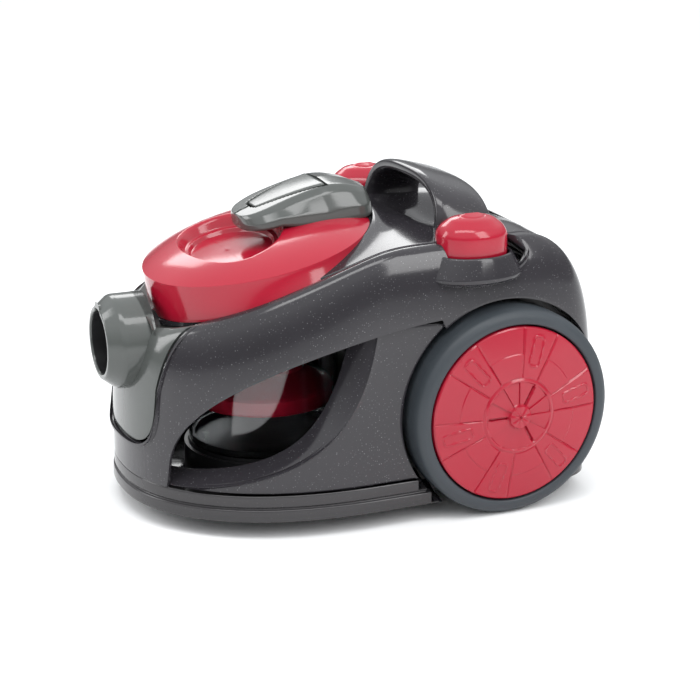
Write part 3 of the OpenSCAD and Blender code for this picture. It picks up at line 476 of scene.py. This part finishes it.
u = even_angles(0, 180, 190)
u = np.concatenate([-u[:0:-1], u[:-1]])
profile = rounded([(-6, 33.5), (-1.0, 33.5), (-1.0, 36.0), (0.0, 35.2), (0.4, 27.0), (-0.8, 26.2), (-0.8, 25.0),
                   (1.2, 24.2), (1.4, 15.0), (-4, 13.0), (-9, 13.0)], 0.9, 3)
loops = [base_loop(u, o, z) for o, z in profile]
loops += [lerp(loops[-1], caster_loop(u, 20.5, 13.0), k) for k in (0.5, 0.97)]
loops += [caster_loop(u, r, z) for r, z in ((20, 13.6), (20, 30.5), (19, 31), (5.2, 31))]
piece("base_tray", np.stack(loops, 1), "base_gloss", "body", around=True, inside=(0, 0, 24), stands_for=["base_pan"])

# %% [markdown]
# The nose cover fills the notch in the fender and carries the hose inlet. The tube is
# a turned profile whose far end flares out and lands on the skin.

# %% Nose cover
def front_at(x, z, inset=0.0):
    """Place along the body where the nose of the skin passes through a given x and z, by halving the angle."""
    x, z = np.broadcast_arrays(np.asarray(x, float), z)
    low, high = np.zeros_like(x), np.full_like(x, 80.0)
    for _ in range(24):
        mid = (low + high) / 2
        inward = skin(mid, climb(mid, z, inset), inset)[..., 0] < np.abs(x)
        low, high = np.where(inward, mid, low), np.where(inward, high, mid)
    return skin(mid, climb(mid, z, inset), inset)[..., 1]

a = np.concatenate([np.linspace(0, 19, 14), np.linspace(19.6, 25, 18), np.linspace(25.6, 36.6, 14)])
u = np.concatenate([-a[:0:-1], a])[:, None]
high = top_z(top_oval(u)[1])
low = (nose_notch(np.abs(u) + 1.0, high) + 1.6 - RIM_Z) / (high - RIM_Z)
cover = skin(u, lerp(np.minimum(low, 0.985), 0.99, np.linspace(0, 1, 26)[None, :]))
cover = ledge(cover, np.full_like(u, 15.0))
piece("nose_cover_fine", cover, "grey_gloss", "body", wall=WALL, edge=0.8, stands_for=["nose_cover"])

INLET_Y, INLET_Z = -197.5, 139.0

def inlet(a, s):
    """Tube of the inlet: s from 0 to 1 follows the bore out, round the lip and back along the tube; past 1 it
    flares out and lands on the skin. A notch at the top of the bore takes the hose's catch."""
    path = rounded([(20.8, -155.0), (20.8, -167.5), (25, -167.5), (25, -194.5), (25.5, INLET_Y), (29, INLET_Y), (37, -187.5),
                    (38, -184.5), (38, -160)], 1.1, 4)
    k = np.linspace(0, 1, len(path))
    r, y = np.interp(s, k, path[:, 0]), np.interp(s, k, path[:, 1])
    top = np.exp(-((np.degrees(np.arctan2(np.sin(a - np.pi / 2), np.cos(a - np.pi / 2))) / 13) ** 4))
    in_bore = (r < 28) & (y < -180)
    r = r + np.where(in_bore, 6 * top, 0)
    p = np.stack([r * np.cos(a), y, INLET_Z + r * np.sin(a)], -1)
    f = np.clip(s - 1, 0, 1)
    rf = 38 + 14 * f**2 * np.clip(0.7 - np.sin(a), 0, 1)
    x, z = rf * np.cos(a), INLET_Z + rf * np.sin(a)
    land = front_at(np.clip(x, -60, 60), np.minimum(z, 150)) + 1.5
    q = np.stack([x, lerp(-160.0, land, np.sin(f * np.pi / 2)), z], -1)
    return np.where((s > 1)[..., None], q, p)

a, s = np.meshgrid(np.linspace(0, 2 * np.pi, 97)[:-1], np.concatenate([np.linspace(0, 1, 60), np.linspace(1.08, 2, 12)]), indexing="ij")
piece("inlet_tube", inlet(a, s), "grey_gloss", "body", around=True, inside=(0, -170, 139), sharp=35)
# Painted shade: a black cup just inside the bore, closed by a disc 40 mm in, stands in for the darkness deep in the
# inlet.
bore_shade = turned([(24.7, 0), (24.7, -26.5), (20.9, -26.7), (20.9, -40), (0.5, -40)], 96)
bore_shade = np.stack([bore_shade[..., 0], INLET_Y + 1.5 - bore_shade[..., 2], INLET_Z + bore_shade[..., 1]], -1)
piece("inlet_painted_shade", bore_shade, "black_plastic", "body", around=True, inside=(0, -400, 139))

# %% [markdown]
# The deck fills the space behind the lid. Its front edge follows the lid as a raised
# collar, its sides meet the shell, and a shallow hollow leaves room for a hand under
# the carry handle. One direction of the grid follows the lid's rim, the other runs
# outwards from it to the edge of the deck.

# %% Rear deck
LID_Y, LID_R, DECK_END = -63.0, 91.0, 140.0

def seam_z(y):
    """Sloping plane that the lid's lower edge and the shell's top edge share."""
    return 156 + 0.41 * (y + 156)

def bump(v):
    return np.where(np.abs(v) < 1, np.cos(np.pi / 2 * np.clip(v, -1, 1)) ** 2, 0)

def top_half(y):
    """Half width of the top oval at a place along the body."""
    reach, m = np.where(y >= 20, 177.5, 176.0), np.where(y >= 20, 4.0, 2.25)
    return 105 * np.maximum(0, 1 - (np.abs(y - 20) / reach) ** m) ** (1 / m)

def deck_z(x, y):
    """Height of the deck: a soft crown, less the hollow under the hand."""
    return top_z(y) + 4 * (1 - (x / 105) ** 2) - 22 * bump(x / 80) * bump((y - 100) / 52)

def deck(s, t):
    """s from -1 to 1 follows the lid's rim from one side round the back to the other; t runs out from the rim."""
    q = np.abs(s)
    a = np.radians(93 * q)
    x0, y0 = (LID_R + 1.5) * np.sin(a), LID_Y + (LID_R + 1.5) * np.cos(a)
    corner = 0.34
    back = q < corner
    y1 = np.where(back, DECK_END, lerp(DECK_END, -60, np.clip((q - corner) / (1 - corner), 0, 1) ** 1.0))
    x1 = np.where(back, q / corner * (top_half(DECK_END) - 1), top_half(y1) - 1)
    x, y = lerp(x0, x1, t), lerp(y0, y1, t)
    d = np.hypot(x - x0, y - y0)
    lift = (seam_z(y0) + 1.5 - deck_z(x0, y0)) * np.exp(-((d / 13) ** 2))
    return np.stack([np.sign(s) * x, y, deck_z(x, y) + lift - 1.2 * np.exp(-(((np.hypot(x1 - x, y1 - y)) / 2.0) ** 2))], -1)

s, t = np.meshgrid(np.linspace(-1, 1, 121), np.linspace(0, 1, 48) ** 1.3, indexing="ij")
piece("rear_deck_fine", deck(s, t), "speckled_shell", "body", wall=WALL, inside=(0, 20, 0), stands_for=["rear_deck"])

# %% [markdown]
# The tail: a curved cover closes the back of the shell, and a ribbed cover on the
# slope above it lets the warm air out. The ribs are one wave across the piece, flattened
# at its crests and valleys, and they fade out at the border.

# %% Tail cover and exhaust grille
a = even_angles(160.5, 180, 34)
u = np.concatenate([a, 360 - a[-2::-1]])[:, None]
v = np.sin(np.linspace(0, np.pi / 2, 24))[None, :]
tail = skin(u, lerp(0.002, 1.0, v))
piece("rear_cover_fine", tail, "base_gloss", "body", wall=WALL, edge=0.8, stands_for=["rear_cover"])

def grille(s, t):
    """s runs across, t down the slope of the tail. Slots are deep valleys between flat ribs."""
    y = lerp(DECK_END + 2.0, 196.2, t)
    half = top_half(y) - 4.5
    x = s * half
    band = np.clip((t - 0.12) / 0.05, 0, 1) * np.clip((0.86 - t) / 0.05, 0, 1) * np.clip((70 - np.abs(x)) / 4, 0, 1)
    rib = np.clip(2.2 * np.cos(2 * np.pi * x / 8.3) + 0.2, -1, 1)
    return np.stack([x, y, top_z(y) + 2.5 * (1 - (x / 110) ** 2) - 1.6 * (1 - rib) * band], -1)

s, t = np.meshgrid(np.linspace(-1, 1, 260), np.linspace(0, 1, 44), indexing="ij")
piece("exhaust_grille_fine", grille(s, t), "black_plastic", "grille", wall=1.6, sharp=38, stands_for=["exhaust_grille"])

# %% [markdown]
# The carry handle is a broad hoop. Its middle line is an arch, its section a flat
# rounded oval that leans back, and it widens towards its feet.

# %% Carry handle
def handle(a, q):
    """a runs along the arch from the left foot to the right, q round the section."""
    high = np.sin(a)
    cx = 70.5 * signed_pow(np.cos(a), 0.72)
    cz = 214 + (258.4 - 214) * high**0.7
    nx, nz = np.cos(a), np.sin(a) + 0.25
    n = np.hypot(nx, nz)
    width = 46 + 8 * (1 - high) ** 3
    r, s = 6.2 * signed_pow(np.sin(q), 0.62), width / 2 * signed_pow(np.cos(q), 0.62)
    return np.stack([cx + r * nx / n, 63 + 25 + s - 1.5 * (1 - high), cz + r * nz / n - (s + 26) * 0.27 * high**0.6], -1)

a, q = np.meshgrid(np.linspace(0.02, np.pi - 0.02, 90), np.linspace(0, 2 * np.pi, 49)[:-1], indexing="ij")
piece("carry_handle_fine", handle(a, q), "speckled_shell", "body", wrap=True, inside=(0, 88, 240), sharp=60,
      stands_for=["carry_handle"])

# %% [markdown]
# Each button sits in a collar that flares down onto the shell, and is a domed oval key
# with an almost upright side. Both are ovals that change with height, so a profile of
# (how far out, how high) pairs describes them. A shallow ring is pressed into the key.

# %% Buttons and their collars
def oval_loops(profile, n=96, x=BUTTON_X, y=BUTTON_Y, a=24.0, b=29.0):
    """Ovals through (growth, height) pairs: half width a and half length b, both grown."""
    k = np.linspace(0, 2 * np.pi, n, endpoint=False)[:, None]
    g, z = np.array(profile, float).T[:, None, :]
    ex = 0.92
    return np.stack(np.broadcast_arrays(x + (a + g) * signed_pow(np.cos(k), ex), y + (b + g) * signed_pow(np.sin(k), ex), z), -1)

def collar():
    """Ring round a key: a rim, a wall that flares more along the body than across it, and a tucked-in foot."""
    p = oval_loops(rounded([(0.7, 203), (0.7, 210.6), (1.7, 212.3), (3.6, 212.1), (4.4, 210.0), (8.6, 195.5), (7.4, 192.5),
                            (-6.0, 186)], 1.4, 4))
    grown = np.clip((212 - p[..., 2]) / 16, 0, 1)
    return np.stack([p[..., 0], p[..., 1] + (p[..., 1] - BUTTON_Y) * 0.13 * grown, p[..., 2]], -1)

left_collar = collar()
for side, node in ((1, "button_bezel_left"), (-1, "button_bezel_right")):
    piece(node + "_fine", left_collar * (side, 1, 1), "speckled_shell", "body", around=True, inside=(side * BUTTON_X, BUTTON_Y, 180),
          stands_for=[node])

key_path = rounded([(-24.0, 208), (-0.2, 208), (-0.5, 227.5), (-3.6, 232.8), (-11, 238.6), (-24.0, 242.2)], 2.4, 5)

def key(side):
    """Domed oval key; a fine ring is pressed into its top, offset to its middle."""
    p = oval_loops(key_path, 120)
    on_top = (p[..., 2] > 236)
    far = np.hypot((p[..., 0] - BUTTON_X) / 24, (p[..., 1] - BUTTON_Y) / 29)
    p[..., 2] -= np.where(on_top, 0.5 * np.exp(-(((far - 0.35) / 0.035) ** 2)), 0)
    return p * (side, 1, 1)

def with_middle(path, count=24):
    """Adds a fan of points between the last two, so the flat top can carry detail."""
    k = np.linspace(0, 1, count)[:, None]
    return np.concatenate([path[:-1], lerp(path[-2], path[-1], k)[1:]])

key_path = with_middle(key_path)
for side, node, body in ((1, "power_button", "power_key"), (-1, "rewind_button", "rewind_key")):
    piece(node + "_fine", key(side), "red_gloss", body, around=True, inside=(side * BUTTON_X, BUTTON_Y, 230),
          stands_for=[node], sharp=60)

# %% [markdown]
# The lid is a low dome that ends in a crease, made a little wider and longer than the
# measured model's lid. An oval bowl with a stepped floor is set forward in it. Its skirt is cut by the sloping plane that it shares with
# the shell, so the skirt is tall at the front and almost nothing at the back.

# %% Lid
TILT = math.radians(12.2)

def lid_frame(p):
    """Turns points of the lid's own frame about X and moves them to its place."""
    c, s = math.cos(TILT), math.sin(TILT)
    x, y, z = p[..., 0], p[..., 1], p[..., 2]
    return np.stack([x, y * c - z * s + LID_Y, y * s + z * c + 212], -1)

WIDE = 1.05

def smooth_step(v):
    v = np.clip(v, 0, 1)
    return v * v * (3 - 2 * v)

def dome(x, y):
    """Height of the lid's top before the bowl: almost flat in the middle, conical near the edge."""
    return 11 - 14 * (np.hypot(x, y) / LID_R) ** 3.6

bowl_path = rounded([(0, 13.6), (0.76, 13.2), (0.80, 10.2), (0.875, 9.4), (0.955, 2.2), (0.985, 0.5), (1, 0)], 0.03, 3)

def lid_top(a, k):
    """k from 0 to 1 fills the bowl, from 1 to 2 the ring round it. The bowl's edge is an oval set forward."""
    bowl = np.stack([62 * np.cos(a), -27 + np.where(np.sin(a) < 0, 36, 47) * np.sin(a)], -1)
    reach = np.where(np.sin(a) < 0, 1.05, 1.0)
    rim = np.stack([WIDE * LID_R * np.cos(a), LID_R * reach * np.sin(a)], -1)
    middle = np.array([0, -27.0])
    xy = np.where((k < 1)[..., None], middle + (bowl - middle) * np.clip(k, 0, 1)[..., None],
                  lerp(bowl, rim, np.clip(k - 1, 0, 1)[..., None]))
    depth = np.interp(k, bowl_path[:, 0], bowl_path[:, 1])
    z = dome(xy[..., 0] / WIDE, xy[..., 1] / reach) - depth
    return lid_frame(np.concatenate([xy, z[..., None]], -1))

def lid_skirt(a, k):
    """Straight skirt from the ring's crease down to the seam plane, found from the plane's slope; in front
    it leans out a little to meet the shell."""
    reach = np.where(np.sin(a) < 0, 1.05, 1.0)
    def at(z):
        return lid_frame(np.stack([WIDE * LID_R * np.cos(a), LID_R * reach * np.sin(a), np.full_like(a, z)], -1))
    top = at(-3.0)
    down = at(-4.0) - top
    gap = top[..., 2] - (seam_z(top[..., 1]) - 1.0)
    steps = gap / (0.41 * down[..., 1] - down[..., 2])
    p = top + down * (np.maximum(steps, 0.3) * k)[..., None]
    lean = 5.0 * k**1.5 * np.clip((0.5 - np.sin(a)) / 0.5, 0, 1)
    return p + np.stack([lean * np.cos(a), lean * np.sin(a) * 0.4, np.zeros_like(a)], -1)

k = np.concatenate([np.linspace(0, 0.72, 12), np.linspace(0.75, 1, 26), np.linspace(1.04, 2, 26)])
a, k = np.meshgrid(np.linspace(0, 2 * np.pi, 193)[:-1], k, indexing="ij")
b, j = np.meshgrid(np.linspace(0, 2 * np.pi, 193)[:-1], np.linspace(0.06, 1, 14), indexing="ij")
lid = np.concatenate([lid_top(a, k), lid_skirt(b, j)], 1)
piece("cup_lid_fine", lid, "red_gloss", "lid", around=True, inside=(0, -63, 150), wall=2.2, edge=0.8, sharp=60,
      stands_for=["cup_lid"])

# %% [markdown]
# The cup's handle is a tongue over the rear of the lid. Looking down it is a rounded
# strip; looking along it, it rises from its tip to a plateau and curves down at the back.
# The release key is a thin plate of its own in a recess near the tip, deep enough for its travel.

# %% Cup handle and release key
def tongue_top(y):
    """Height of the tongue's top along its middle, in the lid's frame."""
    return 25 + 8.5 * np.sin(np.pi / 2 * np.clip((y + 14) / 72, 0, 1)) - 15 * np.clip((y - 56) / 38, 0, 1) ** 1.8

def tongue_half(y):
    """Half width of the tongue: blunt and round at its front, rounded again at the lid's rear edge."""
    front = (1 - (1 - np.clip((y + 14) / 34, 0, 1)) ** 2.8) ** (1 / 2.8)
    rear = (1 - np.clip((y - 74) / 21, 0, 1) ** 3) ** (1 / 3)
    return 37 * front * rear

side_path = rounded([(0, 0), (0.90, 0), (0.975, 0.05), (1.0, 0.14), (0.985, 0.44), (0.80, 0.80), (0.66, 0.95), (0, 1.0)], 0.05, 3)

def key_half(y):
    """Half width of the release key: a narrow round tip that widens to the rear."""
    return np.where(y > 0, 8 + 15 * (np.clip(y, 0, 60) / 60) ** 0.8, 0) * np.clip(y / 2.5, 0, 1) ** 0.5

def tongue(y, q):
    """y runs from the tip to the rear of the lid, q from 0 to 1 round one side of the section and back."""
    k = 1 - np.abs(2 * q - 1)
    run = np.concatenate([[0], np.cumsum(np.hypot(*np.diff(side_path, axis=0).T))])
    sx, sz = (np.interp(k, run / run[-1], side_path[:, c]) for c in (0, 1))
    under = lerp(13.0, -2.0, np.clip((y - 12) / 40, 0, 1))
    x = np.where(q < 0.5, 1, -1) * tongue_half(y) * sx
    z = lerp(under, tongue_top(y), sz)
    room = smooth_step((key_half(y + 1.2) + 1.4 - np.abs(x)) / 0.8) * (sz > 0.9) * (y < 59.5)
    return lid_frame(np.stack([x, y, z - 6.0 * room], -1))

y = -14 + 109 * np.concatenate([np.linspace(0, 0.3, 16)[:-1] ** 1.8, np.linspace(0.3**1.8, 1, 90)])
y, q = np.meshgrid(y, np.linspace(0, 1, 257), indexing="ij")
piece("cup_handle_fine", tongue(y, q), "grey_gloss", "lid", inside=(0, -30, 236), sharp=55, stands_for=["cup_handle"])

t, v = np.meshgrid(np.linspace(0.02, 1, 40), np.linspace(-1, 1, 31), indexing="ij")
y = 57.5 * t
x = key_half(y) * v
z = tongue_top(y) - 0.55 * (x / 25) ** 2 - 0.9 * np.abs(v) ** 14
piece("release_button_fine", lid_frame(np.stack([x, y, z], -1)), "grey_gloss", "release_key", wall=2.0, inside=(0, -30, 200),
      stands_for=["release_button"])

# %% [markdown]
# Wheels. The tyre is a turned profile with round shoulders. The hubcap is a shallow
# cone pressed into twelve sectors: its height is a sum of simple terms in radius and
# angle, so every groove, ring and slot is one line of the formula.

# %% Tyres
def on_wheel(p, side):
    """From the wheel's own frame (axis Z outwards) to its place on the machine."""
    return np.stack([side * p[..., 2], WHEEL_Y + p[..., 0], WHEEL_Z + p[..., 1]], -1)

tyre_path = rounded([(72.4, 109), (72.4, 107), (80, 107), (84.2, 109), (85, 113), (85, 134), (83.6, 139.5), (79.6, 142.6),
                     (75.6, 143), (73.2, 142.2), (72.6, 138), (72.4, 130)], 3.0, 5)
for side, name in ((1, "left"), (-1, "right")):
    piece(f"tyre_{name}_fine", on_wheel(turned(tyre_path, 160), side), "tyre_rubber", f"wheel_{name}", around=True,
          inside=(side * 125, 100, 85), wall=1.0, stands_for=[f"tyre_{name}"])

# %% Hubcaps
def hub_height(r, a):
    """Height of the hubcap over its rim plane, from radius and angle (radians)."""
    turn = a / (2 * np.pi) * 6
    part = turn - np.floor(turn)                      # 0 to 1 through one pair of sectors
    narrow = part < 0.42
    edge = np.minimum(np.minimum(part, np.abs(part - 0.42)), 1 - part) * 2 * np.pi / 6 * r
    z = 6.8 * (1 - (r / 71.5) ** 1.6)
    z = z - 0.9 * np.exp(-((edge / 0.55) ** 2)) * (r > 31)
    z = z + np.where(narrow & (r > 31), 0.35, 0) + np.where(~narrow & (r > 31) & (r < 50), 0.5, 0)
    mid = (part - 0.21) * 2 * np.pi / 6 * r
    d = np.hypot(np.maximum(np.abs(mid) - 1.4, 0), np.maximum(np.abs(r - 53) - 9, 0)) - 3.0
    z = z + 0.8 * np.exp(-((d / 0.55) ** 2)) * narrow
    ring = 1 / (1 + np.exp((r - 30.0) / 0.35))
    blade = (a / (2 * np.pi) * 12) % 1.0
    z = z + ring * (0.9 - 0.9 * np.clip((28.5 - r) / 1.0, 0, 1)) + np.where((r < 27.5) & (r > 9.5), 1.1 * (blade - 0.5), 0)
    slit = np.exp(-((((a / (2 * np.pi) * 3) % 1.0 - 0.5) * 2 * np.pi / 3 * r / 1.1) ** 4)) * (r > 10) * (r < 26)
    z = z - 2.0 * slit
    knob = np.clip((10.0 - r) / 1.2, 0, 1)
    return z + knob * (2.6 + 0.25 * np.cos(8 * a))

a = np.linspace(0, 2 * np.pi, 481)[:-1][:, None]
r = np.concatenate([np.linspace(0, 31, 36), np.linspace(32, 70.2, 44)])[None, :]
cap = np.stack(np.broadcast_arrays(r * np.cos(a), r * np.sin(a), 142.6 + hub_height(r, a)), -1)
rim = np.stack(np.broadcast_arrays(*[np.array(k)[None, :] * np.ones_like(a) for k in ([71.2, 71.5, 71.5], [0, 0, 0], [142.0, 141.0, 134.0])]), -1)
rim = np.stack([rim[..., 0] * np.cos(a), rim[..., 0] * np.sin(a), rim[..., 2]], -1)
hub = np.concatenate([cap, rim], 1)
for side, name in ((1, "left"), (-1, "right")):
    piece(f"hubcap_{name}_fine", on_wheel(hub, side), "red_gloss", f"wheel_{name}", around=True,
          inside=(side * 120, 100, 85), sharp=24, stands_for=[f"hubcap_{name}"])

bpy.context.view_layer.update()
